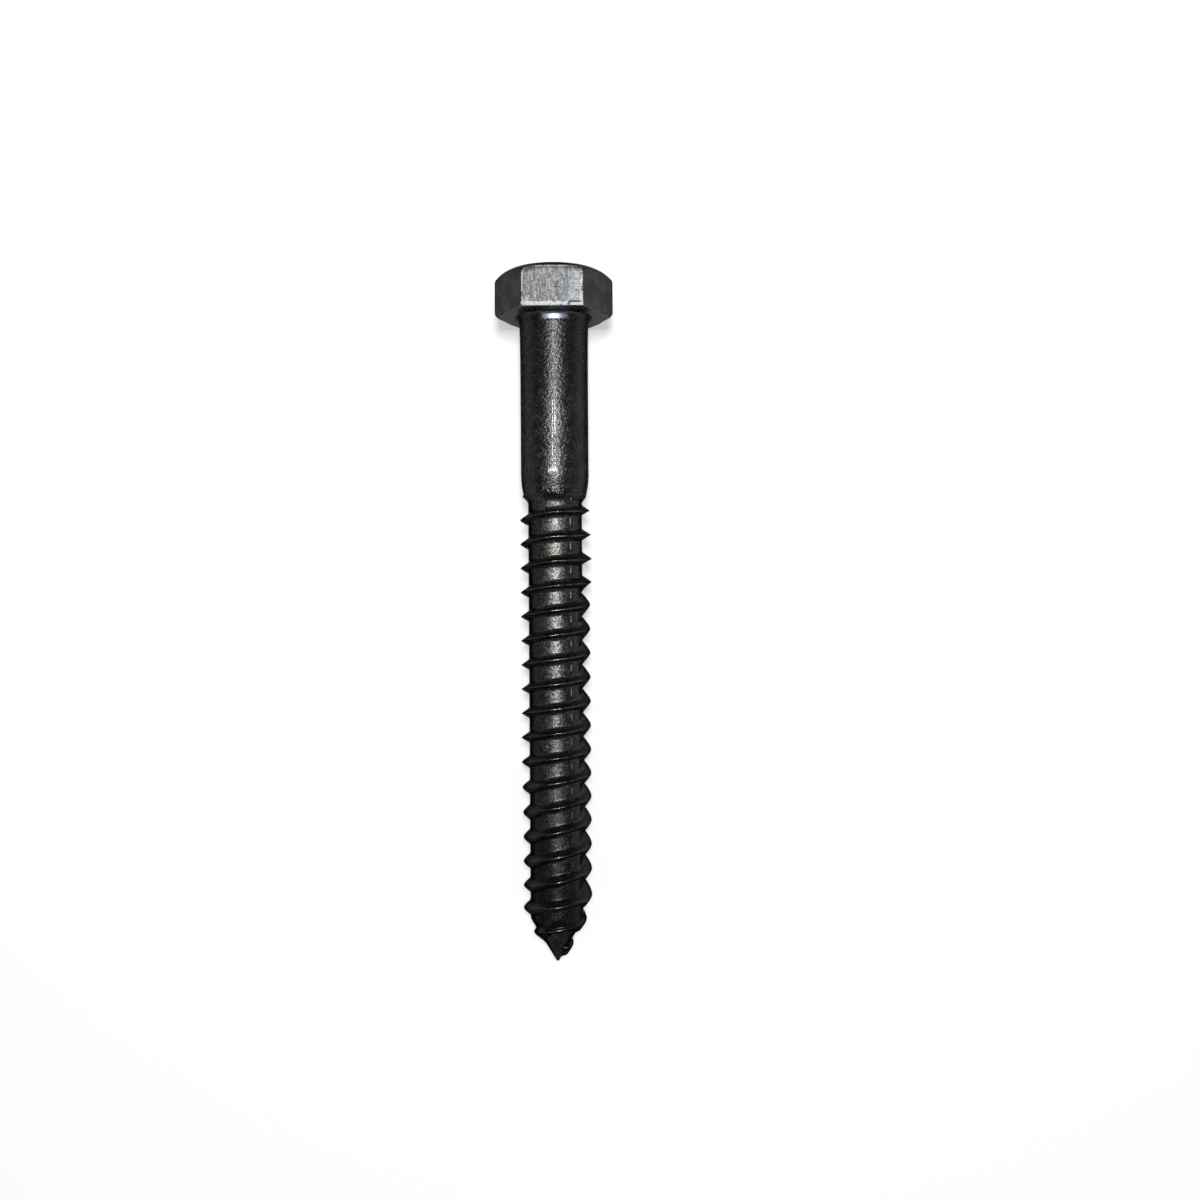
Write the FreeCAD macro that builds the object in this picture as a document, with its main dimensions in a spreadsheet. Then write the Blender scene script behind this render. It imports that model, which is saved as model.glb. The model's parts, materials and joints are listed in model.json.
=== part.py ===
import FreeCAD, Part
import math
import os
import re
import Sketcher

# A hexagon-head lag screw, one forged piece with a rolled coarse thread. It is drawn upright on its own
# axis, with the bearing face of the head at height 0 and the point below, and then laid on its side.
# Lengths are in millimetres and angles in degrees. A place named for its depth is a distance below the
# bearing face.
SIZES = {
    # head: two of its flats are square to Y, and its top is a flat crown on a dome
    "across_flats": 12.7,
    "corner_round": 0.35,
    "side_height": 4.7625,
    "crown_dia": 11.2,
    "dome_radius": 11.8,
    # shank: flared where it meets the head, then plain
    "under_head": 76.2,
    "flare_dia": 9.3,
    "flare_length": 1,
    "shank_dia": 8.05,
    "shank_length": 18.6,
    # where the shank draws in to the core of the thread
    "taper_dia": 7.3,
    "taper_length": 2.8,
    "shoulder_length": 1.1,
    # core and its cone, whose angle is from the axis to its side
    "root_dia": 6.4,
    "point_angle": 31,
    "tip_dia": 0.3,
    # thread: a right-hand ridge, sunk a little into the core that carries it
    "thread_dia": 8.24,
    "pitch": 2.86,
    "flank_angle": 30,
    "ridge_sink": 0.3,
    # the ridge is full from first_gap below the shoulder to last_gap above the cone
    "first_gap": 0.21,
    "last_gap": 0.97,
    # it rises out of the taper, and at the cone it narrows and stops tip_gap short of the tip
    "run_out_angle": 12,
    "run_out_length": 2.2,
    "point_ridge_angle": 27,
    "tip_gap": 1.7,
}

# formulas in the words of the sheet
CORNER_RADIUS = "(across_flats / sqrt(3))"
DOME_CENTRE = "(side_height - sqrt(dome_radius ^ 2 - (across_flats / 2) ^ 2))"
CROWN_TOP = f"({DOME_CENTRE} + sqrt(dome_radius ^ 2 - (crown_dia / 2) ^ 2))"
CORNER_TOP = f"({DOME_CENTRE} + sqrt(dome_radius ^ 2 - {CORNER_RADIUS} ^ 2))"
TAPER_DEPTH = "(shank_length + taper_length)"
CORE_DEPTH = f"({TAPER_DEPTH} + shoulder_length)"
CONE_DEPTH = "(under_head - (root_dia - tip_dia) / 2 / tan(point_angle))"
FIRST_DEPTH = f"({CORE_DEPTH} + first_gap)"
LAST_DEPTH = f"({CONE_DEPTH} - last_gap)"
END_DEPTH = "(under_head - tip_gap)"
RIDGE_BASE = "(root_dia / 2 - ridge_sink)"
HALF_BASE = f"((thread_dia / 2 - {RIDGE_BASE}) * tan(flank_angle))"

# how far behind the ridge's end the turned faces have their seam, clear of its narrowest flanks
SEAM_TURN = 75

# the lowest crests of the lying screw are a quarter turn before those in the ridge's starting plane
LOW_TURNS = f"(floor(({LAST_DEPTH} - {FIRST_DEPTH}) / pitch + 1 / 4) - 1 / 4)"
REST_DEPTH = f"({FIRST_DEPTH} + pitch * {LOW_TURNS})"


def from_sheet(formula):
    """The same formula with each size named as a cell of the sheet."""
    return re.sub(r"\b(" + "|".join(SIZES) + r")\b", r"Sizes.\1", formula)


def number_of(formula):
    """What a formula comes to, with the sizes as they are."""
    found = sheet.evalExpression(from_sheet(formula))
    return float(getattr(found, "Value", found))


def origin_part(role):
    return next(part for part in body.Origin.OriginFeatures if part.Role == role)


def add(kind, name, **formulas):
    """A feature of the body, with sizes that follow the sheet."""
    feature = body.newObject(kind, name)
    for size, formula in formulas.items():
        feature.setExpression(size, from_sheet(formula))
    return feature


def outline(name, plane, corners, turned="0", domed=False):
    """A closed sketch of straight edges through corners, each a place across and up by formula.

    An upright sketch can be turned round the screw's axis, or have for its last edge a dome's arc, which
    is centred on the axis.
    """
    sketch = add("Sketcher::SketchObject", name)
    sketch.AttachmentSupport = [(origin_part(plane), "")]
    sketch.MapMode = "FlatFace"
    if plane == "XZ_Plane":
        upward = FreeCAD.Vector(0, 1, 0)
        sketch.AttachmentOffset = FreeCAD.Placement(
            FreeCAD.Vector(), FreeCAD.Rotation(upward, number_of(turned))
        )
        sketch.setExpression(".AttachmentOffset.Rotation.Angle", from_sheet(turned))
    places = [FreeCAD.Vector(number_of(across), number_of(up), 0) for across, up in corners]
    edges = [Part.LineSegment(start, end) for start, end in zip(places, places[1:] + places[:1])]
    if domed:
        centre = FreeCAD.Vector(0, number_of(DOME_CENTRE), 0)
        angles = [math.atan2(place.y - centre.y, place.x) for place in (places[-1], places[0])]
        circle = Part.Circle(centre, FreeCAD.Vector(0, 0, 1), number_of("dome_radius"))
        edges[-1] = Part.ArcOfCircle(circle, *angles)
    for edge in edges:
        sketch.addGeometry(edge)
    for edge, corner in enumerate(corners):
        sketch.addConstraint(Sketcher.Constraint("Coincident", (edge - 1) % len(corners), 2, edge, 1))
        for way, formula in zip(("DistanceX", "DistanceY"), corner):
            index = sketch.addConstraint(Sketcher.Constraint(way, edge, 1, number_of(formula)))
            sketch.setExpression(f"Constraints[{index}]", from_sheet(formula))
    if domed:
        sketch.addConstraint(Sketcher.Constraint("PointOnObject", len(edges) - 1, 3, -2))
    return sketch


def winding(depth):
    """How far round the axis the ridge is at a depth, in degrees."""
    return f"360 * ({FIRST_DEPTH} - {depth}) / pitch"


def tooth(name, depth, inward):
    """The ridge's section where it reaches a depth, moved inward from where the full thread has it."""
    corners = [
        (f"{RIDGE_BASE} - {inward}", f"{HALF_BASE} - {depth}"),
        (f"thread_dia / 2 - {inward}", f"-{depth}"),
        (f"{RIDGE_BASE} - {inward}", f"-{HALF_BASE} - {depth}"),
    ]
    return outline(name, "XZ_Plane", corners, winding(depth))


def ridge(name, section, down, height, angle):
    """A stretch of the ridge, wound right-handed from its section, down or up, and outward by an angle."""
    helix = add("PartDesign::AdditiveHelix", name, Pitch="pitch", Height=height, Angle=angle)
    helix.Profile = section
    helix.ReferenceAxis = (origin_part("Z_Axis"), [""])
    helix.Mode = "pitch-height-angle"
    helix.Reversed = down
    doc.recompute()


doc = FreeCAD.newDocument("LagScrew")
sheet = doc.addObject("Spreadsheet::Sheet", "Sizes")
for row, (alias, size) in enumerate(SIZES.items(), start=1):
    sheet.set(f"A{row}", str(size))
    sheet.setAlias(f"A{row}", alias)
doc.recompute()
body = doc.addObject("PartDesign::Body", "LagScrew")
body.Label = "lag_screw"

# head: a hexagon bar with its long edges rounded and its top cut back to the dome
hexagon = [
    (f"{CORNER_RADIUS} * cos({60 * corner})", f"{CORNER_RADIUS} * sin({60 * corner})")
    for corner in range(6)
]
head = add("PartDesign::Pad", "Head", Length=CROWN_TOP)
head.Profile = outline("HeadOutline", "XY_Plane", hexagon)
doc.recompute()
upright = [
    f"Edge{number}"
    for number, edge in enumerate(head.Shape.Edges, start=1)
    if abs(edge.tangentAt(edge.FirstParameter).z) > 0.5
]
rounded = add("PartDesign::Fillet", "RoundedCorners", Radius="corner_round")
rounded.Base = (head, upright)
doc.recompute()
crown = add("PartDesign::Groove", "Crown")
crown.Profile = outline(
    "CrownCut",
    "XZ_Plane",
    [("crown_dia / 2", CROWN_TOP), (CORNER_RADIUS, CROWN_TOP), (CORNER_RADIUS, CORNER_TOP)],
    domed=True,
)
crown.ReferenceAxis = (crown.Profile[0], ["V_Axis"])
doc.recompute()

# shank, core and gimlet point, turned in one outline
shank = add("PartDesign::Revolution", "Shank")
shank.Profile = outline(
    "ShankOutline",
    "XZ_Plane",
    [
        ("0", "0"),
        ("flare_dia / 2", "0"),
        ("shank_dia / 2", "-flare_length"),
        ("shank_dia / 2", "-shank_length"),
        ("taper_dia / 2", f"-{TAPER_DEPTH}"),
        ("root_dia / 2", f"-{CORE_DEPTH}"),
        ("root_dia / 2", f"-{CONE_DEPTH}"),
        ("tip_dia / 2", "-under_head"),
        ("0", "-under_head"),
    ],
    f"{winding(END_DEPTH)} - {SEAM_TURN}",
)
shank.ReferenceAxis = (shank.Profile[0], ["V_Axis"])
doc.recompute()

# thread: the full ridge, and its two ends, each wound from its narrow end to where the ridge is full
start_depth = f"({FIRST_DEPTH} - run_out_length)"
point_length = f"({END_DEPTH} - {LAST_DEPTH})"
start_tooth = tooth("StartTooth", start_depth, "run_out_length * tan(run_out_angle)")
first_tooth = tooth("FirstTooth", FIRST_DEPTH, "0")
end_tooth = tooth("EndTooth", END_DEPTH, f"{point_length} * tan(point_ridge_angle)")
ridge("RunOut", start_tooth, True, "run_out_length", "run_out_angle")
ridge("PointThread", end_tooth, False, point_length, "point_ridge_angle")
ridge("Thread", first_tooth, True, f"{LAST_DEPTH} - {FIRST_DEPTH}", "0")

# lying on a flat of the head and the last full crests below it, the axis falls a little to the point
body.Placement = FreeCAD.Placement(FreeCAD.Vector(), FreeCAD.Rotation(FreeCAD.Vector(1, 0, 0), -90))
lying = f"atan((across_flats - thread_dia) / 2 / {REST_DEPTH}) - 90 deg"
body.setExpression(".Placement.Rotation.Angle", from_sheet(lying))
doc.recompute()

for item in doc.Objects:
    if "Invalid" in item.State or "Error" in item.State:
        raise RuntimeError(f"{item.Label} failed: {item.State}")
if body.Shape.isNull() or not body.Shape.isValid() or len(body.Shape.Solids) != 1:
    raise RuntimeError("the screw isn't one valid solid")

os.makedirs("parts", exist_ok=True)
body.Shape.exportStep(os.path.join("parts", f"{body.Label}.step"))
print(f"{body.Label}: {body.Shape.Volume:.2f} mm3, lying at {body.Placement.Rotation.Angle:.5f} rad")
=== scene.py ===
import json
import math
from functools import reduce

import bmesh
import bpy
from mathutils import Matrix, Vector


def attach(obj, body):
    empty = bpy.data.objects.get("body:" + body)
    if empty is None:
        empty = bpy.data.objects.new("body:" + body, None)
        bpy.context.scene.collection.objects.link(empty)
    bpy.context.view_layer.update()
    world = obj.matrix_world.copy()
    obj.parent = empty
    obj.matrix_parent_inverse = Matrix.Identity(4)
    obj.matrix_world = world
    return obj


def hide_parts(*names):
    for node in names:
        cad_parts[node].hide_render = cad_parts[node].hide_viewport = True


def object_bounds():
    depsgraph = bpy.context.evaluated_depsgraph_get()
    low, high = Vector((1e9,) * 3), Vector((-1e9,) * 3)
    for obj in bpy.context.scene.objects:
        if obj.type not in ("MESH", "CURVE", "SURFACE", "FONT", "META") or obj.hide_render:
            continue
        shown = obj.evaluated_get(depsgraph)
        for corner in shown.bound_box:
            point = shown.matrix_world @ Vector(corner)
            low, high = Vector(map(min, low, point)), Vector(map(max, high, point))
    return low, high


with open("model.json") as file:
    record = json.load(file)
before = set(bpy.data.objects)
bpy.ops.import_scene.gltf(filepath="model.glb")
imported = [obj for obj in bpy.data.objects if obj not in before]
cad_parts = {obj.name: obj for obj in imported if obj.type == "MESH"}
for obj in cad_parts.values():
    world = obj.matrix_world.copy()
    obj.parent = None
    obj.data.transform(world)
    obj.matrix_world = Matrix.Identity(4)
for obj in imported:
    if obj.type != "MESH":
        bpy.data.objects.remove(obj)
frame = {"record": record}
cad_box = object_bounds()

# The head: hot forged from the same bar as the shank and trimmed to a hexagon, so its sides carry the
# upright scoring of the trimming die and its lower edge a thin bright burr. Its top is a flat crown on a
# dome, and its two side corners are worn.
MM = 0.001
COLUMNS = 144
ACROSS_FLATS = 12.7
SIDE_HEIGHT = 4.7625
DOME_RADIUS = 11.8
CROWN_RADIUS = 5.6
CROWN_RISE = 0.02
CROWN_RINGS = (5.4, 4.6, 3.6, 2.6, 1.6, 0.6)
CORNER_ROUND = 0.35
SIDE_CORNER_ROUND = 1.95
# one side of the hexagon takes up a sixth of a turn
SIDE_TURN = math.pi / 3
HALF_SIDE_TURN = math.pi / 6
# how far the columns spread beside a corner, as a share of even spacing
CORNER_SPACING = 0.4
UNDER_INSET = 0.35
EDGE_INSET = 0.03
TOP_INSET = 0.15
EDGE_SOFTNESS = 0.12
BURR_DEPTH = 0.1
# the wear of the side corners, at rising heights
LOWEST_WEAR = 0.45
BURR_WEAR = 0.3
WEAR_END = (0.3, 0.1)
SIDE_SHARES = (0.12, 0.3, 0.5, 0.7, 0.9, 1.0)
ROUNDING_SHARES = (0.25, 0.5, 0.75, 1.0)

# Every form is drawn in millimetres along the screw's own axis: X across, Y towards the head from its
# bearing face, Z out of the upper flat. The screw lies on a flat of the head and on its lowest crests, so
# that axis falls a little towards the point.
mounts = {mount["name"]: mount for mount in frame["record"]["mounts"]}
towards_point = Vector(mounts["bearing_face"]["axis"])
fall = math.atan2(-towards_point.z, -towards_point.y)
to_row = Matrix.Rotation(fall, 4, "X") @ Matrix.Scale(MM, 4)
dome_centre = SIDE_HEIGHT - math.sqrt(DOME_RADIUS**2 - (ACROSS_FLATS / 2) ** 2)
bm = bmesh.new()


def ring(outline, height):
    """A closed ring of points round the axis, each an angle and a radius.

    Its height over the bearing face is a number, or a function of the radius.
    """
    points = []
    for angle, radius in outline:
        level = height(radius) if callable(height) else height
        place = Vector((radius * math.cos(angle), level, radius * math.sin(angle)))
        points.append(bm.verts.new(to_row @ place))
    return points


def skin(rings):
    """Faces between rings of as many points each."""
    for near, far in zip(rings, rings[1:]):
        for this in range(len(near)):
            after = (this + 1) % len(near)
            bm.faces.new((near[this], near[after], far[after], far[this]))


def cap(points, height):
    """A fan of faces that closes a ring."""
    middle = bm.verts.new(to_row @ Vector((0, height, 0)))
    for this in range(len(points)):
        bm.faces.new((points[this], points[(this + 1) % len(points)], middle))


def hexagon(angle, inset=0.0):
    """How far the head's side is from the axis, with its upright edges rounded, most at its two sides."""
    apothem = ACROSS_FLATS / 2 - inset
    off_corner = HALF_SIDE_TURN - abs((angle % SIDE_TURN) - HALF_SIDE_TURN)
    at_side = abs(math.cos(angle)) > math.cos(HALF_SIDE_TURN)
    rounding = SIDE_CORNER_ROUND if at_side else CORNER_ROUND
    middle = (apothem - rounding) / math.cos(HALF_SIDE_TURN)
    beside = middle * math.sin(off_corner)
    if beside < rounding * math.sin(HALF_SIDE_TURN):
        return middle * math.cos(off_corner) + math.sqrt(rounding**2 - beside**2)
    return apothem / math.cos(HALF_SIDE_TURN - off_corner)


def head_angle(plain):
    """Columns crowd towards the corners, so that their rounding stays smooth."""
    nearest = round(plain / SIDE_TURN) * SIDE_TURN
    off = plain - nearest
    return nearest + off * (CORNER_SPACING + (1 - CORNER_SPACING) * abs(off) / HALF_SIDE_TURN)


def dome(radius):
    return dome_centre + math.sqrt(max(DOME_RADIUS**2 - radius**2, 0))


round_angles = [column * 2 * math.pi / COLUMNS for column in range(COLUMNS)]
hex_angles = [head_angle(plain) for plain in round_angles]


def round_ring(radius, height):
    return ring([(angle, radius) for angle in round_angles], height)


def hex_ring(inset, height, worn=0.0):
    """The head's outline at a height, with its two side corners worn down."""
    off_side = math.cos(HALF_SIDE_TURN)
    outline = []
    for angle in hex_angles:
        at_side = max(abs(math.cos(angle)) - off_side, 0) / (1 - off_side)
        outline.append((angle, hexagon(angle, inset) - worn * at_side))
    return ring(outline, height)


def rounder_ring(inset, radius, share, height):
    """A ring on the way from the head's outline to a circle, which it reaches where the share is 1."""
    outline = []
    for hexed, plain in zip(hex_angles, round_angles):
        outline.append(
            (hexed + (plain - hexed) * share, hexagon(hexed, inset) * (1 - share) + radius * share)
        )
    return ring(outline, height)


head_rings = [
    hex_ring(UNDER_INSET, 0.0, LOWEST_WEAR),
    hex_ring(EDGE_INSET, 0.0, LOWEST_WEAR),
    hex_ring(0.0, BURR_DEPTH, BURR_WEAR),
    hex_ring(0.0, *WEAR_END),
]
for share in SIDE_SHARES:
    head_rings.append(hex_ring(0.0, lambda radius: share * (dome(radius) - EDGE_SOFTNESS)))
head_rings.append(hex_ring(EDGE_INSET, lambda radius: dome(radius) - EDGE_INSET))
head_rings.append(hex_ring(TOP_INSET, dome))
for share in ROUNDING_SHARES:
    head_rings.append(rounder_ring(TOP_INSET, CROWN_RADIUS, share, dome))
crown_height = dome(CROWN_RADIUS) + CROWN_RISE
for radius in CROWN_RINGS:
    head_rings.append(round_ring(radius, crown_height))
skin(head_rings)
cap(head_rings[-1], crown_height)

# The shank: left as drawn and forged, so it is dark, fine grained and speckled. It swells a little under
# the head and meets it in a fillet. The last of it is drawn with the thread.
SHANK_RADIUS = 4.025
SHANK_LENGTH = 18.6
THREAD_SKIN_START = SHANK_LENGTH - 1
FILLET = 0.5
SWELL = 0.14
SWELL_LENGTH = 2.2
UNDER_SHARES = (0.34, 0.67)
FILLET_STEPS = 8
SHANK_STEPS = 30


def swollen(depth):
    return SHANK_RADIUS + SWELL * math.exp(-depth / SWELL_LENGTH)


shank_rings = [head_rings[0]]
for share in UNDER_SHARES:
    shank_rings.append(rounder_ring(UNDER_INSET, SHANK_RADIUS + SWELL + FILLET, share, 0.0))
for step in range(FILLET_STEPS + 1):
    turn = step / FILLET_STEPS * math.pi / 2
    depth = FILLET * (1 - math.cos(turn))
    shank_rings.append(round_ring(swollen(depth) + FILLET * (1 - math.sin(turn)), -depth))
for step in range(1, SHANK_STEPS):
    depth = FILLET + (THREAD_SKIN_START - FILLET) * step / SHANK_STEPS
    shank_rings.append(round_ring(swollen(depth), -depth))
shank_rings.append(round_ring(SHANK_RADIUS, -THREAD_SKIN_START))
skin([points[::-1] for points in shank_rings])

blank = bpy.data.meshes.new("forged_blank")
bm.to_mesh(blank)
bm.free()

# The thread: one sharp ridge rolled right-handed round a thin core, rising out of the taper of the shank
# and narrowing over the gimlet point, where it ends bluntly. The dies left it fuller and rounder along its
# right side, and lower at the left towards the point.
SIZES = {
    # depths are below the bearing face, and slopes are a fall for each millimetre along the screw
    "pitch": 2.86,
    "first depth": 22.71,
    "last depth": 70.15,
    "start depth": THREAD_SKIN_START,
    "end depth": 76.2,
    # the shank's taper, down to the core and its cone
    "shank radius": SHANK_RADIUS,
    "shank length": SHANK_LENGTH,
    "taper arc": 11.4,
    "shoulder depth": 21.4,
    "shoulder slope": 0.45,
    "shoulder blend": 0.1,
    "core radius": 3.2,
    "point angle": 31.0,
    "cone blend": 0.3,
    "tip radius": 0.15,
    # the ridge, and its two ends
    "crest radius": 4.15,
    "upper flank angle": 34.0,
    "lower flank angle": 29.0,
    "root fillet": 0.3,
    "crest round": 0.04,
    "round rise": 0.36,
    "round top": 0.06,
    "run out slope": 0.21,
    "run out depth": 20.5,
    "run out end slope": 2.0,
    "point ridge angle": 27.0,
    "point ridge lean": 0.05,
    "ridge end": 74.5,
    "ridge end slope": 3.0,
    # the fuller right side
    "full side from": 30.0,
    "full side to": 33.5,
    "full side flank angle": 53.0,
    "full side growth": -0.04,
    "full side hollow": 0.18,
    "full crest round": 0.42,
    "low full crest round": 0.9,
    "low full crest from": 44.0,
    "low full crest to": 60.0,
    # the first crests, which reach out to the right
    "early wander from": 18.3,
    "early wander to": 21.0,
    "early side growth": 0.22,
    "early growth from": 24.5,
    "early growth to": 26.5,
    # the lower, rounder crests at the left
    "late left from": 52.0,
    "late left to": 60.0,
    "late growth": -0.14,
    "late spread": 0.3,
    "worn left from": 45.0,
    "worn left to": 57.0,
    "late crest round": 0.8,
    # how far the ridge strays along the screw, and how unevenly it was filled
    "wander": 0.28,
    "late wander from": 50.0,
    "late wander to": 60.0,
    "wander end from": 66.0,
    "wander end to": 70.0,
    "crest waver": 0.05,
    # the stretch beside a crest that wears, and how soon a ridge stands out enough to wear
    "crest reach": 0.5,
    "proud": 3.0,
}
ROWS_A_TURN = 24
# the fuller side's middle, round from the right, and the cosines at which the sides start and are complete
FULL_SIDE_MIDDLE = math.radians(35)
FULL_SIDE_REACH = (0.3, 0.95)
LEFT_SIDE_REACH = (0.25, 0.85)
WAVER_STRETCH = 0.6
WAVER_SCALE = 1.7
WAVER_DETAIL = 3.0
SAME_POINT = 1e-7

thread_tree = bpy.data.node_groups.new("rolled_thread", "GeometryNodeTree")
thread_tree.interface.new_socket("Thread", in_out="OUTPUT", socket_type="NodeSocketGeometry")
for name, number in SIZES.items():
    socket = thread_tree.interface.new_socket(name, in_out="INPUT", socket_type="NodeSocketFloat")
    socket.default_value = number
steel_socket = thread_tree.interface.new_socket("steel", in_out="INPUT", socket_type="NodeSocketMaterial")
links = thread_tree.links
sizes_in = thread_tree.nodes.new("NodeGroupInput")


def size(name):
    return sizes_in.outputs[name]


def feed(tree, value, socket):
    """Sets a socket to a number, or links it to another socket."""
    if isinstance(value, bpy.types.NodeSocket):
        tree.links.new(value, socket)
    else:
        socket.default_value = value


def calc(operation, *values, clamp=False):
    """A math node in the tree that its values come from; a value is a number or a socket."""
    tree = next(value.id_data for value in values if isinstance(value, bpy.types.NodeSocket))
    node = tree.nodes.new("ShaderNodeMath")
    node.operation = operation
    node.use_clamp = clamp
    for place, value in enumerate(values):
        feed(tree, value, node.inputs[place])
    return node.outputs[0]


def plus(*values):
    return reduce(lambda total, value: calc("ADD", total, value), values)


def minus(value, *others):
    return reduce(lambda total, other: calc("SUBTRACT", total, other), others, value)


def times(*values):
    return reduce(lambda total, value: calc("MULTIPLY", total, value), values)


def between(start, end, share):
    return plus(start, times(minus(end, start), share))


def past(value, limit):
    """How far a value is past a limit, and 0 before it."""
    return calc("MAXIMUM", minus(value, limit), 0.0)


def ramp(value, low, high, start=0.0, end=1.0):
    """From start to end in a smooth curve, as a value goes from one limit to the other."""
    tree = value.id_data
    node = tree.nodes.new("ShaderNodeMapRange")
    node.interpolation_type = "SMOOTHSTEP"
    limits = {"From Min": low, "From Max": high, "To Min": start, "To Max": end, "Value": value}
    for name, limit in limits.items():
        feed(tree, limit, node.inputs[name])
    return node.outputs[0]


def sets_in(name):
    """0 above the depth from which a change sets in, and 1 below the depth where it is complete."""
    return ramp(drop, size(f"{name} from"), size(f"{name} to"))


def tangent(name):
    return calc("TANGENT", calc("RADIANS", size(name)))


# a sheet of points rolled up, each row a step farther down, so a turn of rows is one pitch: around is a
# point's share of a turn, turn counts the ridge's windings, and drop is how deep the point is
rows = math.ceil(((SIZES["end depth"] - SIZES["start depth"]) / SIZES["pitch"] + 1) * ROWS_A_TURN) + 1
grid = thread_tree.nodes.new("GeometryNodeMeshGrid")
grid.inputs["Size X"].default_value = 1
grid.inputs["Size Y"].default_value = rows - 1
grid.inputs["Vertices X"].default_value = COLUMNS + 1
grid.inputs["Vertices Y"].default_value = rows
where = thread_tree.nodes.new("GeometryNodeInputPosition")
parts = thread_tree.nodes.new("ShaderNodeSeparateXYZ")
links.new(where.outputs[0], parts.inputs[0])
around = plus(parts.outputs["X"], 0.5)
row = plus(parts.outputs["Y"], (rows - 1) / 2)
angle = times(around, 2 * math.pi)
first_row = calc("DIVIDE", minus(size("start depth"), size("first depth")), size("pitch"))
turn = plus(first_row, calc("DIVIDE", row, float(ROWS_A_TURN)))
drop = plus(size("first depth"), times(minus(turn, around), size("pitch")))

# how the ridge strays, and where it is full
rightward = calc("COSINE", angle)
full = sets_in("full side")
early = times(sets_in("early wander"), minus(1.0, full))
early_wander = times(calc("MAXIMUM", rightward, 0.0), early)
late_wander = times(sets_in("late wander"), minus(1.0, sets_in("wander end")))
late_wander = times(late_wander, times(rightward, -1.0))
wandered = plus(drop, times(plus(early_wander, late_wander), size("wander")))
depth = calc("MINIMUM", calc("MAXIMUM", wandered, size("start depth")), size("end depth"))
low_right = calc("COSINE", minus(angle, FULL_SIDE_MIDDLE))
fullness = times(ramp(low_right, *FULL_SIDE_REACH), full)

# the blank that it is rolled on: the shank's taper and shoulder, the core and the cone
past_shank = past(depth, size("shank length"))
arc_squared = times(size("taper arc"), size("taper arc"))
arc_rise = minus(size("taper arc"), calc("SQRT", past(arc_squared, times(past_shank, past_shank))))
taper = minus(size("shank radius"), arc_rise)
taper = minus(taper, times(past(depth, size("shoulder depth")), size("shoulder slope")))
rolled = minus(size("core radius"), times(fullness, size("full side hollow")))
core = calc("SMOOTH_MAX", taper, rolled, size("shoulder blend"))
cone = plus(times(minus(size("end depth"), depth), tangent("point angle")), size("tip radius"))
core = calc("SMOOTH_MIN", core, cone, size("cone blend"))

# the crest, which falls away at both ends
crest_turn = calc("ROUND", turn)
crest_depth = plus(size("first depth"), times(minus(crest_turn, around), size("pitch")))
below_crest = times(minus(turn, crest_turn), size("pitch"))
point_fall = plus(tangent("point ridge angle"), times(rightward, size("point ridge lean")))
crest = minus(
    size("crest radius"),
    times(past(size("first depth"), crest_depth), size("run out slope")),
    times(past(size("run out depth"), crest_depth), size("run out end slope")),
    times(past(crest_depth, size("last depth")), point_fall),
    times(past(crest_depth, size("ridge end")), size("ridge end slope")),
)
crest_place = thread_tree.nodes.new("ShaderNodeCombineXYZ")
links.new(calc("COSINE", angle), crest_place.inputs["X"])
links.new(times(crest_depth, WAVER_STRETCH), crest_place.inputs["Y"])
links.new(calc("SINE", angle), crest_place.inputs["Z"])
waver = thread_tree.nodes.new("ShaderNodeTexNoise")
waver.inputs["Scale"].default_value = WAVER_SCALE
waver.inputs["Detail"].default_value = WAVER_DETAIL
links.new(crest_place.outputs[0], waver.inputs["Vector"])
crest = plus(crest, times(minus(waver.outputs["Fac"], 0.5), size("crest waver")))
crest = plus(crest, times(fullness, size("full side growth")))
crest = plus(crest, times(early_wander, sets_in("early growth"), size("early side growth")))
left_side = ramp(times(rightward, -1.0), *LEFT_SIDE_REACH)
late_left = times(sets_in("late left"), left_side)
worn_left = times(sets_in("worn left"), left_side)
crest = plus(crest, times(late_left, size("late growth")))

# the ridge's flanks and its rounded top, blended into the blank
spread = calc("MAXIMUM", fullness, times(late_left, size("late spread")))
upper = between(tangent("upper flank angle"), tangent("full side flank angle"), spread)
lower = between(tangent("lower flank angle"), tangent("full side flank angle"), spread)
down_flank = calc("DIVIDE", below_crest, lower)
up_flank = calc("DIVIDE", times(below_crest, -1.0), upper)
rounding = between(size("crest round"), size("late crest round"), worn_left)
full_rounding = between(size("full crest round"), size("low full crest round"), sets_in("low full crest"))
rounding = between(rounding, full_rounding, fullness)
ridge = minus(plus(crest, times(rounding, size("round rise"))), calc("MAXIMUM", down_flank, up_flank))
ridge = calc("SMOOTH_MIN", ridge, plus(crest, times(rounding, size("round top"))), rounding)
radius = calc("MAXIMUM", calc("SMOOTH_MAX", core, ridge, size("root fillet")), size("tip radius"))

# each point is put in its place, laid down with the screw, and marked by how near a standing crest it is
place = thread_tree.nodes.new("ShaderNodeCombineXYZ")
links.new(times(radius, calc("COSINE", angle)), place.inputs["X"])
links.new(times(depth, -1.0), place.inputs["Y"])
links.new(times(radius, times(calc("SINE", angle), -1.0)), place.inputs["Z"])
laid = thread_tree.nodes.new("ShaderNodeVectorRotate")
laid.rotation_type = "X_AXIS"
laid.inputs["Angle"].default_value = fall
links.new(place.outputs[0], laid.inputs["Vector"])
scaled = thread_tree.nodes.new("ShaderNodeVectorMath")
scaled.operation = "SCALE"
scaled.inputs["Scale"].default_value = MM
links.new(laid.outputs[0], scaled.inputs[0])
keep_crest = thread_tree.nodes.new("GeometryNodeStoreNamedAttribute")
keep_crest.data_type = "FLOAT"
keep_crest.domain = "POINT"
keep_crest.inputs["Name"].default_value = "crest"
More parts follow.
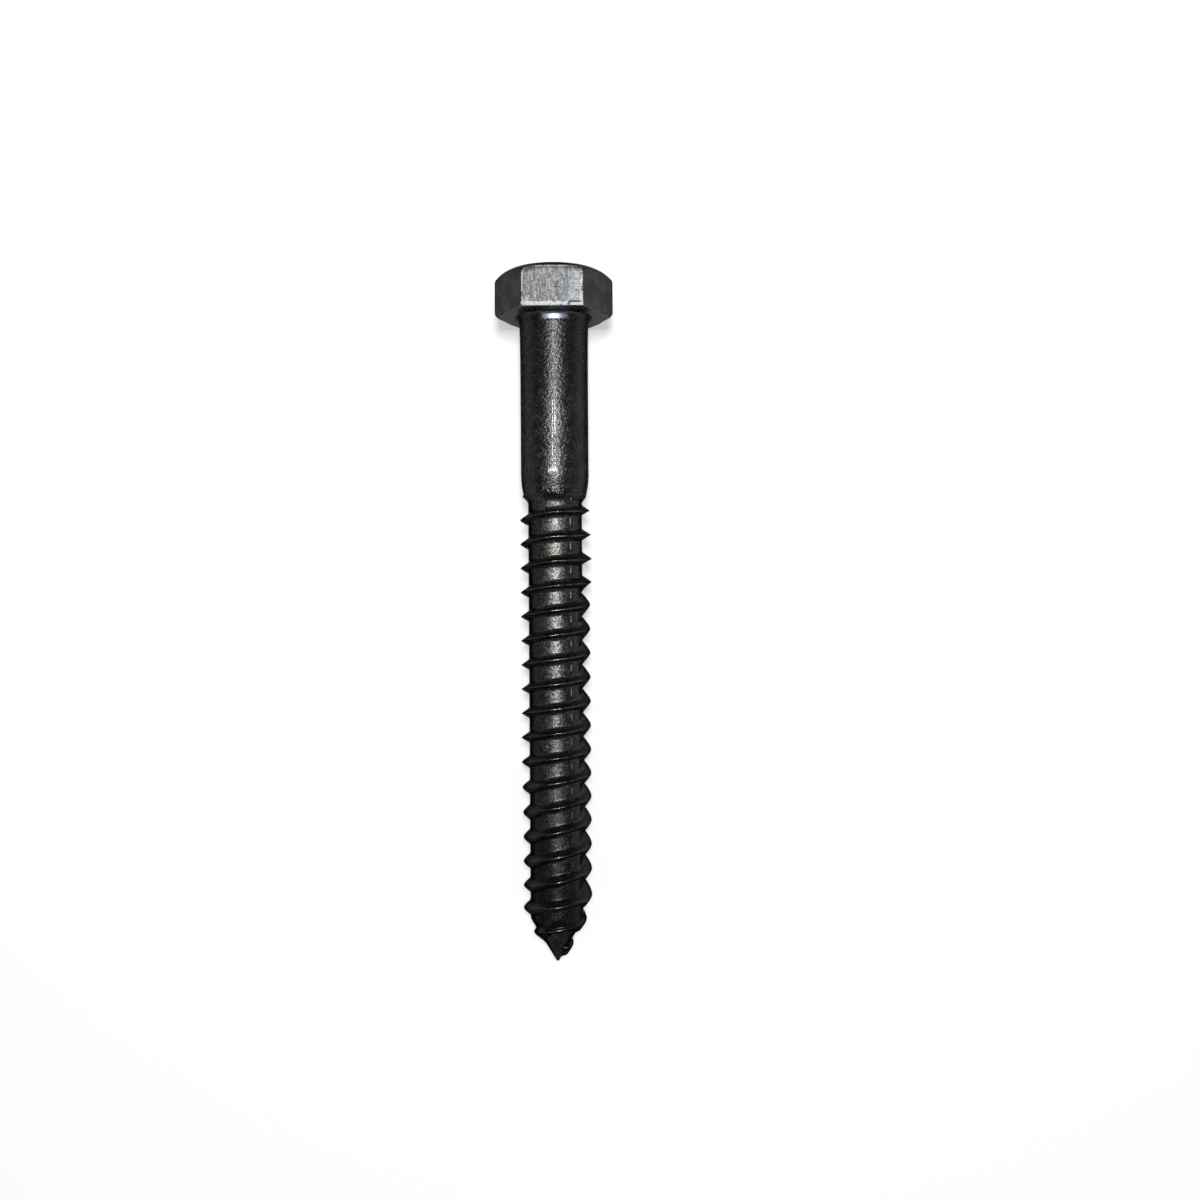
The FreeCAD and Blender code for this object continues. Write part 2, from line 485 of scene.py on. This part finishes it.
near_crest = past(1.0, calc("DIVIDE", calc("ABSOLUTE", below_crest), size("crest reach")))
standing = calc("MINIMUM", times(past(crest, core), size("proud")), 1.0)
links.new(times(near_crest, standing), keep_crest.inputs["Value"])
set_place = thread_tree.nodes.new("GeometryNodeSetPosition")
links.new(scaled.outputs[0], set_place.inputs["Position"])
whole = thread_tree.nodes.new("GeometryNodeMergeByDistance")
whole.inputs["Distance"].default_value = SAME_POINT
real = thread_tree.nodes.new("GeometryNodeRealizeInstances")
coat = thread_tree.nodes.new("GeometryNodeSetMaterial")
links.new(size("steel"), coat.inputs["Material"])
out = thread_tree.nodes.new("NodeGroupOutput")
line = (grid, keep_crest, set_place, whole, real, coat, out)
for near, far in zip(line, line[1:]):
    links.new(near.outputs[0], far.inputs[0])

# The finish: black oxide under a film of oil, dull and dark, rubbed through to bright steel on the crests,
# on the burr of the head and along the marks that the forming dies left. Highlights are painted into it
# along its upper side, and shade on its flanks and towards the point.
DARK_OXIDE = (0.029, 0.030, 0.032)
LIGHT_OXIDE = (0.058, 0.057, 0.056)
SHANK_HIGHLIGHT_GREY = (0.098, 0.097, 0.095)
BROWNED = (0.034, 0.031, 0.027)
LAND_HIGHLIGHT_GREY = (0.155, 0.152, 0.146)
WORN_FLECK_AND_SHEEN = (0.26, 0.255, 0.247)
LAND_SHADE_BLACK = (0.014, 0.014, 0.015)
RIDGE_SHADE_BLACK = (0.034, 0.034, 0.035)
PIT_BROWN = (0.03, 0.029, 0.027)
SIDE_GREY = (0.090, 0.090, 0.091)
SIDE_PATCH = (0.060, 0.060, 0.060)
UNDERSIDE_GREY = (0.165, 0.163, 0.165)
UNDERSIDE_REFLECTION = (0.5, 0.5, 0.505)
SCORED_DARK = (0.072, 0.074, 0.076)
SCORED_BRIGHT = (0.185, 0.19, 0.195)
FLAKED = (0.052, 0.054, 0.055)
SCRAPED_BLUE = (0.19, 0.205, 0.22)
BARE_STEEL = (0.62, 0.61, 0.60)
CHIP_BLACK = (0.04, 0.04, 0.042)
COLLAR_HIGHLIGHT_BLUE = (0.34, 0.38, 0.46)
SPECULAR_TINT = (0.25, 0.25, 0.25, 1)
LEAST_ROUGHNESS = 0.1
BUMP_DISTANCE = 0.0001
LEAST_BUMP = 0.05
# how far round the screw the painted highlight dashes lie, as a share of the thread's turn
DASH_HIGHLIGHT_AROUND = 0.85

steel = bpy.data.materials.new("oiled_black_steel")
steel.use_nodes = True
nodes = steel.node_tree.nodes
wires = steel.node_tree.links
shader = nodes["Principled BSDF"]

coordinates = nodes.new("ShaderNodeTexCoord")
upright = nodes.new("ShaderNodeMapping")
upright.inputs["Rotation"].default_value = (-fall, 0, 0)
wires.new(coordinates.outputs["Object"], upright.inputs["Vector"])
in_mm = nodes.new("ShaderNodeVectorMath")
in_mm.operation = "SCALE"
in_mm.inputs["Scale"].default_value = 1 / MM
wires.new(upright.outputs[0], in_mm.inputs[0])
screw = in_mm.outputs[0]
split = nodes.new("ShaderNodeSeparateXYZ")
wires.new(screw, split.inputs[0])
across_screw, along, above = split.outputs


def length(first, second):
    return calc("SQRT", plus(times(first, first), times(second, second)))


def over(value, limit, soft):
    """1 where a value is over a limit, fading to 0 below it."""
    return ramp(value, limit - soft, limit + soft)


def under(value, limit, soft):
    """1 where a value is under a limit, fading to 0 above it."""
    return ramp(value, limit - soft, limit + soft, 1.0, 0.0)


def band(value, low, high, soft):
    """1 where a value lies between two limits, fading to 0 outside them."""
    return times(over(value, low, soft), under(value, high, soft))


def noise(scale, detail, rough, seed=0.0, stretch=(1, 1, 1)):
    """Noise in millimetres along the screw, drawn out along an axis by a stretch under 1."""
    drawn = nodes.new("ShaderNodeMapping")
    drawn.inputs["Scale"].default_value = stretch
    drawn.inputs["Location"].default_value = (seed, seed, seed)
    wires.new(screw, drawn.inputs["Vector"])
    node = nodes.new("ShaderNodeTexNoise")
    node.inputs["Scale"].default_value = scale
    node.inputs["Detail"].default_value = detail
    node.inputs["Roughness"].default_value = rough
    wires.new(drawn.outputs[0], node.inputs["Vector"])
    return node.outputs["Fac"]


def tint(surface, colour, share):
    """A colour laid over a surface where the share is 1; the surface is a colour or a socket."""
    node = nodes.new("ShaderNodeMix")
    node.data_type = "RGBA"
    if isinstance(surface, tuple):
        node.inputs["A"].default_value = (*surface, 1)
    else:
        wires.new(surface, node.inputs["A"])
    if isinstance(colour, tuple):
        node.inputs["B"].default_value = (*colour, 1)
    else:
        wires.new(colour, node.inputs["B"])
    wires.new(share, node.inputs["Factor"])
    return node.outputs["Result"]


# places are in millimetres along and from the axis, and in degrees round it from the upper flat's middle
turned = calc("DEGREES", calc("ARCTAN2", across_screw, above))
from_axis = length(across_screw, above)
crest_near = nodes.new("ShaderNodeAttribute")
crest_near.attribute_name = "crest"
nearness = crest_near.outputs["Fac"]

# noises, each finer as its scale grows
speckle = noise(3.3, 2.0, 0.5)
flakes = noise(2.3, 3.0, 0.6, seed=21.0)
grain = noise(11.0, 2.0, 0.5, seed=7.0)
patches = noise(0.55, 3.0, 0.55, seed=3.0)
scoring = noise(8.5, 3.0, 0.7, seed=5.0, stretch=(1, 0.14, 1))
ragged = noise(1.6, 3.0, 0.6, seed=9.0)
flecks = noise(6.5, 2.0, 0.55, seed=41.0)
clusters = noise(1.1, 2.0, 0.5, seed=51.0)
breaks = noise(1.4, 3.0, 0.6, seed=31.0)
pocks = noise(4.6, 2.0, 0.5, seed=61.0)

# the parts of the screw
on_head = over(along, 0.02, 0.02)
on_side = times(on_head, over(from_axis, 6.25, 0.04))
upper_flat = times(on_side, band(turned, -29.6, 29.6, 0.8), over(above, 5.9, 0.1))
on_crown = over(along, 4.0, 0.3)
underside = times(band(along, -0.08, 0.03, 0.02), over(from_axis, 4.6, 0.15))
on_shank = band(along, -20.6, 0.02, 0.4)
lower_shank = band(along, -20.6, -9.5, 2.5)
on_land = times(band(from_axis, 2.8, 3.55, 0.06), band(along, -72.0, -21.8, 0.2))
on_ridge = times(over(from_axis, 3.5, 0.14), under(along, -21.4, 0.2))
lower_half = under(along, -50.0, 12.0)
towards_tip = under(along, -64.0, 9.0)
# the upper side of the screw, where highlights are painted
highlight_side = band(turned, -32.0, 30.0, 20.0)

# the oxide: painted highlights along the top of the shank and on the lands' upper side, fading to the
# point, worn flecks, and painted shade on the lands' sides, the ridge and towards the point
# painted highlight: a lighter band along the upper side of the shank, most on its lower part
shank_highlight = times(on_shank, band(turned, -20.0, 40.0, 26.0), plus(0.1, times(lower_shank, 0.3)))
# painted highlight on the lands, strongest near the shank and fading to nothing at the point
highlight_fade_to_point = calc("MULTIPLY_ADD", along, 0.030, 2.07)
land_highlight_mottle = times(on_land, highlight_side, plus(0.35, times(over(speckle, 0.45, 0.1), 0.65)))
land_highlight = times(land_highlight_mottle, highlight_fade_to_point)
# worn flecks of bright steel; fewer on the shank near the head, and shown mostly on the upper side as a
# painted highlight
worn_flecks_and_sheen = times(over(flecks, 0.57, 0.05), over(clusters, 0.47, 0.12), under(along, 3.5, 0.3))
shank_sheen_dimming = times(on_shank, calc("MULTIPLY_ADD", lower_shank, -0.35, 0.6))
worn_flecks_and_sheen = times(worn_flecks_and_sheen, minus(1.0, shank_sheen_dimming))
# painted shade: the lands darker along their left side and towards the point
shaded_land_sides = times(on_land, band(turned, -140.0, -34.0, 16.0), 0.7)
oxide = DARK_OXIDE
for colour, share in (
    (LIGHT_OXIDE, over(speckle, 0.52, 0.14)),
    (SHANK_HIGHLIGHT_GREY, shank_highlight),
    (BROWNED, times(over(patches, 0.5, 0.1), 0.5)),
    (LAND_HIGHLIGHT_GREY, land_highlight),
    (WORN_FLECK_AND_SHEEN, times(worn_flecks_and_sheen, plus(0.2, times(highlight_side, 0.7)))),
    (LAND_SHADE_BLACK, plus(times(towards_tip, 0.7), shaded_land_sides)),
    # painted shade: the ridge's flanks darker
    (RIDGE_SHADE_BLACK, times(on_ridge, 0.8)),
    (PIT_BROWN, times(on_land, over(pocks, 0.57, 0.04), 0.8)),
    (SIDE_GREY, on_side),
    (SIDE_PATCH, times(on_side, over(patches, 0.48, 0.1), 0.7)),
    (UNDERSIDE_GREY, underside),
    # painted reflection: the underside lighter beneath the upper flat
    (UNDERSIDE_REFLECTION, times(underside, band(turned, -30.0, 30.0, 8.0))),
):
    oxide = tint(oxide, colour, share)

# the upper flat, scraped bare inside a rounded frame and scored upright, and painted lighter than the
# other sides as a highlight
to_corner_x = past(calc("ABSOLUTE", across_screw), 2.45)
to_corner_y = past(along, 3.6)
from_middle = length(to_corner_x, to_corner_y)
scraped_and_highlit = times(upper_flat, under(from_middle, 1.06, 0.05))
bare = tint(SCORED_DARK, SCORED_BRIGHT, over(scoring, 0.5, 0.13))
bare = tint(bare, FLAKED, times(over(flakes, 0.56, 0.08), 0.6))
bare = tint(bare, SCRAPED_BLUE, times(band(across_screw, 2.1, 4.0, 0.5), over(ragged, 0.44, 0.1)))
oxide = tint(oxide, bare, scraped_and_highlit)

# what is rubbed bright: the burr with its chip, the frame of the flat, the crests and the die marks; the
# crests' bright line is kept to the upper side and the dashes on the lands are painted highlights
strayed = minus(ragged, 0.5)
chip_along = times(band(across_screw, 1.9, 3.3, 0.04), band(along, 0.34, 0.58, 0.04))
chip_up = times(band(across_screw, 1.86, 2.08, 0.03), band(along, 0.06, 0.5, 0.03))
chip = times(calc("MAXIMUM", chip_along, chip_up), 0.9)
burr = under(plus(along, times(strayed, 0.9)), 0.47, 0.06)
lip = times(upper_flat, burr, over(speckle, 0.40, 0.05), 0.92, minus(1.0, chip))
frame_lines = calc("MAXIMUM", band(from_middle, 0.9, 1.04, 0.05), band(across_screw, 3.3, 3.6, 0.06))
edge_lines = times(upper_flat, frame_lines, over(ragged, 0.44, 0.08))
# the crests rubbed bright in broken lines, shown only on the upper side and dimmer in the lower half as a
# painted highlight
crest_wear_and_glint = times(over(nearness, 0.84, 0.1), over(breaks, 0.44, 0.07), band(turned, -16, 34, 22))
crest_glint_share = calc("MULTIPLY_ADD", lower_half, -0.18, 0.28)
turns_to_first = SIZES["first depth"] / SIZES["pitch"]
past_crest = calc("FRACT", plus(times(along, -1 / SIZES["pitch"]), DASH_HIGHLIGHT_AROUND - turns_to_first))
# painted highlights: short bright dashes on the lands to the right of the top, fading to the point
dash_highlights = times(
    band(turned, 34.3, 36.9, 0.5),
    band(from_axis, 2.9, 3.4, 0.05),
    band(past_crest, 0.33, 0.58, 0.05),
    over(flecks, 0.42, 0.04),
    highlight_fade_to_point,
)
two_lines = plus(band(turned, -1.6, -0.7, 0.35), band(turned, 2.2, 3.1, 0.35))
die_lines = times(two_lines, band(along, -18.8, -10.2, 0.3), over(ragged, 0.36, 0.12), 0.66)
blotch = times(band(turned, -9.0, 5.0, 3.0), band(along, -18.8, -18.4, 0.25), over(speckle, 0.47, 0.05))
# painted highlight: a bluish bright crescent on the fillet under the head, on its upper side
collar_highlight = times(
    band(plus(along, times(strayed, 0.5)), -0.95, -0.2, 0.16),
    band(turned, -16.0, 22.0, 9.0),
    band(from_axis, 4.0, 4.9, 0.1),
)
rubbed_and_glints = plus(lip, times(edge_lines, 0.7), times(crest_wear_and_glint, crest_glint_share), dash_highlights)
rubbed_and_glints = calc("ADD", rubbed_and_glints, plus(die_lines, times(blotch, 0.8)), clamp=True)
finish = tint(oxide, BARE_STEEL, rubbed_and_glints)
finish = tint(finish, CHIP_BLACK, times(upper_flat, chip))
finish = tint(finish, COLLAR_HIGHLIGHT_BLUE, times(collar_highlight, 0.9))
wires.new(finish, shader.inputs["Base Color"])
shader.inputs["Metallic"].default_value = 1.0
shader.inputs["Specular Tint"].default_value = SPECULAR_TINT

# how rough each part is
off_crest = minus(1.0, over(nearness, 0.6, 0.2))
roughness = plus(
    0.12,
    times(grain, 0.14),
    times(on_side, 0.25),
    times(worn_flecks_and_sheen, 0.24),
    times(land_highlight, 0.2),
    times(on_ridge, off_crest, 0.28),
    times(on_shank, 0.13),
    times(on_land, lower_half, 0.13),
    times(rubbed_and_glints, 0.2),
)
roughness = plus(minus(roughness, times(die_lines, 0.2)), times(collar_highlight, 0.08))
wires.new(calc("MAXIMUM", roughness, LEAST_ROUGHNESS), shader.inputs["Roughness"])

# the grain stands out on the bare oxide and is rubbed smooth elsewhere
rubbed_flat = plus(times(die_lines, 1.15), times(collar_highlight, 0.95))
plain = calc("MAXIMUM", calc("MAXIMUM", on_side, on_crown), rubbed_flat)
on_thread = plus(times(on_land, plus(0.5, times(lower_half, 0.35))), times(on_ridge, 0.6))
standing_out = minus(1.0, plus(times(plain, 0.94), on_thread, times(on_shank, 0.3)))
standing_out = calc("MAXIMUM", minus(standing_out, times(towards_tip, 0.5)), LEAST_BUMP)
pitted = times(plus(speckle, times(flakes, 0.5), times(grain, 0.1)), standing_out)
bump = nodes.new("ShaderNodeBump")
bump.inputs["Strength"].default_value = 1.0
bump.inputs["Distance"].default_value = BUMP_DISTANCE
wires.new(plus(pitted, times(scoring, on_side, 0.16)), bump.inputs["Height"])
wires.new(bump.outputs["Normal"], shader.inputs["Normal"])

# The finished screw: one piece of steel, so the blank and the thread meet on one ring of points and become
# one closed skin. The open rings at the tip are filled, and the head keeps its sharp edges.
JOIN = 2e-7
SHARP = math.radians(28)
# the tip's open rings are below the first of these, and the head is above the second
TIP_Y = -0.07
HEAD_Y = -0.3 * MM

holder = bpy.data.objects.new("thread_roll", bpy.data.meshes.new("thread_roll"))
bpy.context.scene.collection.objects.link(holder)
rolling = holder.modifiers.new("rolled_thread", "NODES")
rolling.node_group = thread_tree
rolling[steel_socket.identifier] = steel
bpy.context.view_layer.update()
thread_mesh = bpy.data.meshes.new_from_object(holder.evaluated_get(bpy.context.evaluated_depsgraph_get()))
holder.modifiers.remove(rolling)
bpy.data.objects.remove(holder)

bm = bmesh.new()
bm.from_mesh(thread_mesh)
bm.from_mesh(blank)
bmesh.ops.remove_doubles(bm, verts=bm.verts, dist=JOIN)
tip_edges = [edge for edge in bm.edges if len(edge.link_faces) == 1 and edge.verts[0].co.y < TIP_Y]
bmesh.ops.holes_fill(bm, edges=tip_edges, sides=0)
bmesh.ops.recalc_face_normals(bm, faces=bm.faces)
for edge in bm.edges:
    on_the_head = min(vert.co.y for vert in edge.verts) > HEAD_Y
    edge.smooth = not (on_the_head and edge.is_manifold and edge.calc_face_angle() > SHARP)
finished = bpy.data.meshes.new("lag_screw_steel")
bm.to_mesh(finished)
bm.free()
finished.materials.clear()
finished.materials.append(steel)
finished.shade_smooth()
piece = bpy.data.objects.new("lag_screw_steel", finished)
bpy.context.scene.collection.objects.link(piece)
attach(piece, "root")
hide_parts("lag_screw")

# The floor and the light: a pale plain floor, one long soft lamp overhead, and a pale surround that is
# darker above. The floor is lifted to white only where it is seen, so it throws no light of its own.
FLOOR_REACH = 1.5
FLOOR_GREY = (0.66, 0.66, 0.66, 1)
FLOOR_ROUGHNESS = 0.9
FLOOR_LIFT = 0.47
WHITE = (1, 1, 1, 1)
LAMP_SIZE = (0.065, 0.095)
LAMP_WATTS = 1.15
LAMP_PLACE = (0.015, 0.014, 0.4)
# the surround's strength falls from the first to the second as a direction rises between two limits
SKY_RISE = (0.06, 0.36)
SKY_STRENGTH = (0.55, 0.18)

floor_height = cad_box[0][2]
corners = [
    (x * FLOOR_REACH, y * FLOOR_REACH, floor_height) for x, y in ((-1, -1), (1, -1), (1, 1), (-1, 1))
]
floor_mesh = bpy.data.meshes.new("floor")
floor_mesh.from_pydata(corners, [], [(0, 1, 2, 3)])
floor = bpy.data.objects.new("floor", floor_mesh)
bpy.context.scene.collection.objects.link(floor)
paint = bpy.data.materials.new("pale_floor")
paint.use_nodes = True
matt = paint.node_tree.nodes["Principled BSDF"]
matt.inputs["Base Color"].default_value = FLOOR_GREY
matt.inputs["Roughness"].default_value = FLOOR_ROUGHNESS
matt.inputs["Emission Color"].default_value = WHITE
rays = paint.node_tree.nodes.new("ShaderNodeLightPath").outputs
seen = calc("MAXIMUM", rays["Is Camera Ray"], rays["Is Glossy Ray"])
seen = calc("MAXIMUM", seen, rays["Is Transmission Ray"], clamp=True)
paint.node_tree.links.new(times(seen, FLOOR_LIFT), matt.inputs["Emission Strength"])
floor_mesh.materials.append(paint)

lamp_data = bpy.data.lights.new("softbox", "AREA")
lamp_data.shape = "RECTANGLE"
lamp_data.size, lamp_data.size_y = LAMP_SIZE
lamp_data.energy = LAMP_WATTS
lamp = bpy.data.objects.new("softbox", lamp_data)
lamp.location = LAMP_PLACE
bpy.context.scene.collection.objects.link(lamp)

world = bpy.data.worlds.new("pale_room")
world.use_nodes = True
sky = world.node_tree
direction = sky.nodes.new("ShaderNodeTexCoord")
upward = sky.nodes.new("ShaderNodeSeparateXYZ")
sky.links.new(direction.outputs["Generated"], upward.inputs[0])
darker_above = ramp(upward.outputs["Z"], *SKY_RISE, *SKY_STRENGTH)
sky.links.new(darker_above, sky.nodes["Background"].inputs["Strength"])
sky.nodes["Background"].inputs["Color"].default_value = WHITE
bpy.context.scene.world = world

# The camera looks down on the screw from 15 cm, over the upper part of the thread.
SENSOR_WIDTH = 36
LENS = 38.957
CLIP_START = 0.01
CAMERA_PLACE = (0.00494, -0.04105, 0.15299)
CAMERA_TURN = (0.0483, -0.0018, -0.0071)

camera_data = bpy.data.cameras.new("camera")
camera_data.sensor_width = SENSOR_WIDTH
camera_data.lens = LENS
camera_data.clip_start = CLIP_START
camera = bpy.data.objects.new("camera", camera_data)
camera.location = CAMERA_PLACE
camera.rotation_mode = "YXZ"
camera.rotation_euler = CAMERA_TURN
bpy.context.scene.collection.objects.link(camera)
bpy.context.scene.camera = camera
bpy.context.scene.view_settings.view_transform = "Standard"
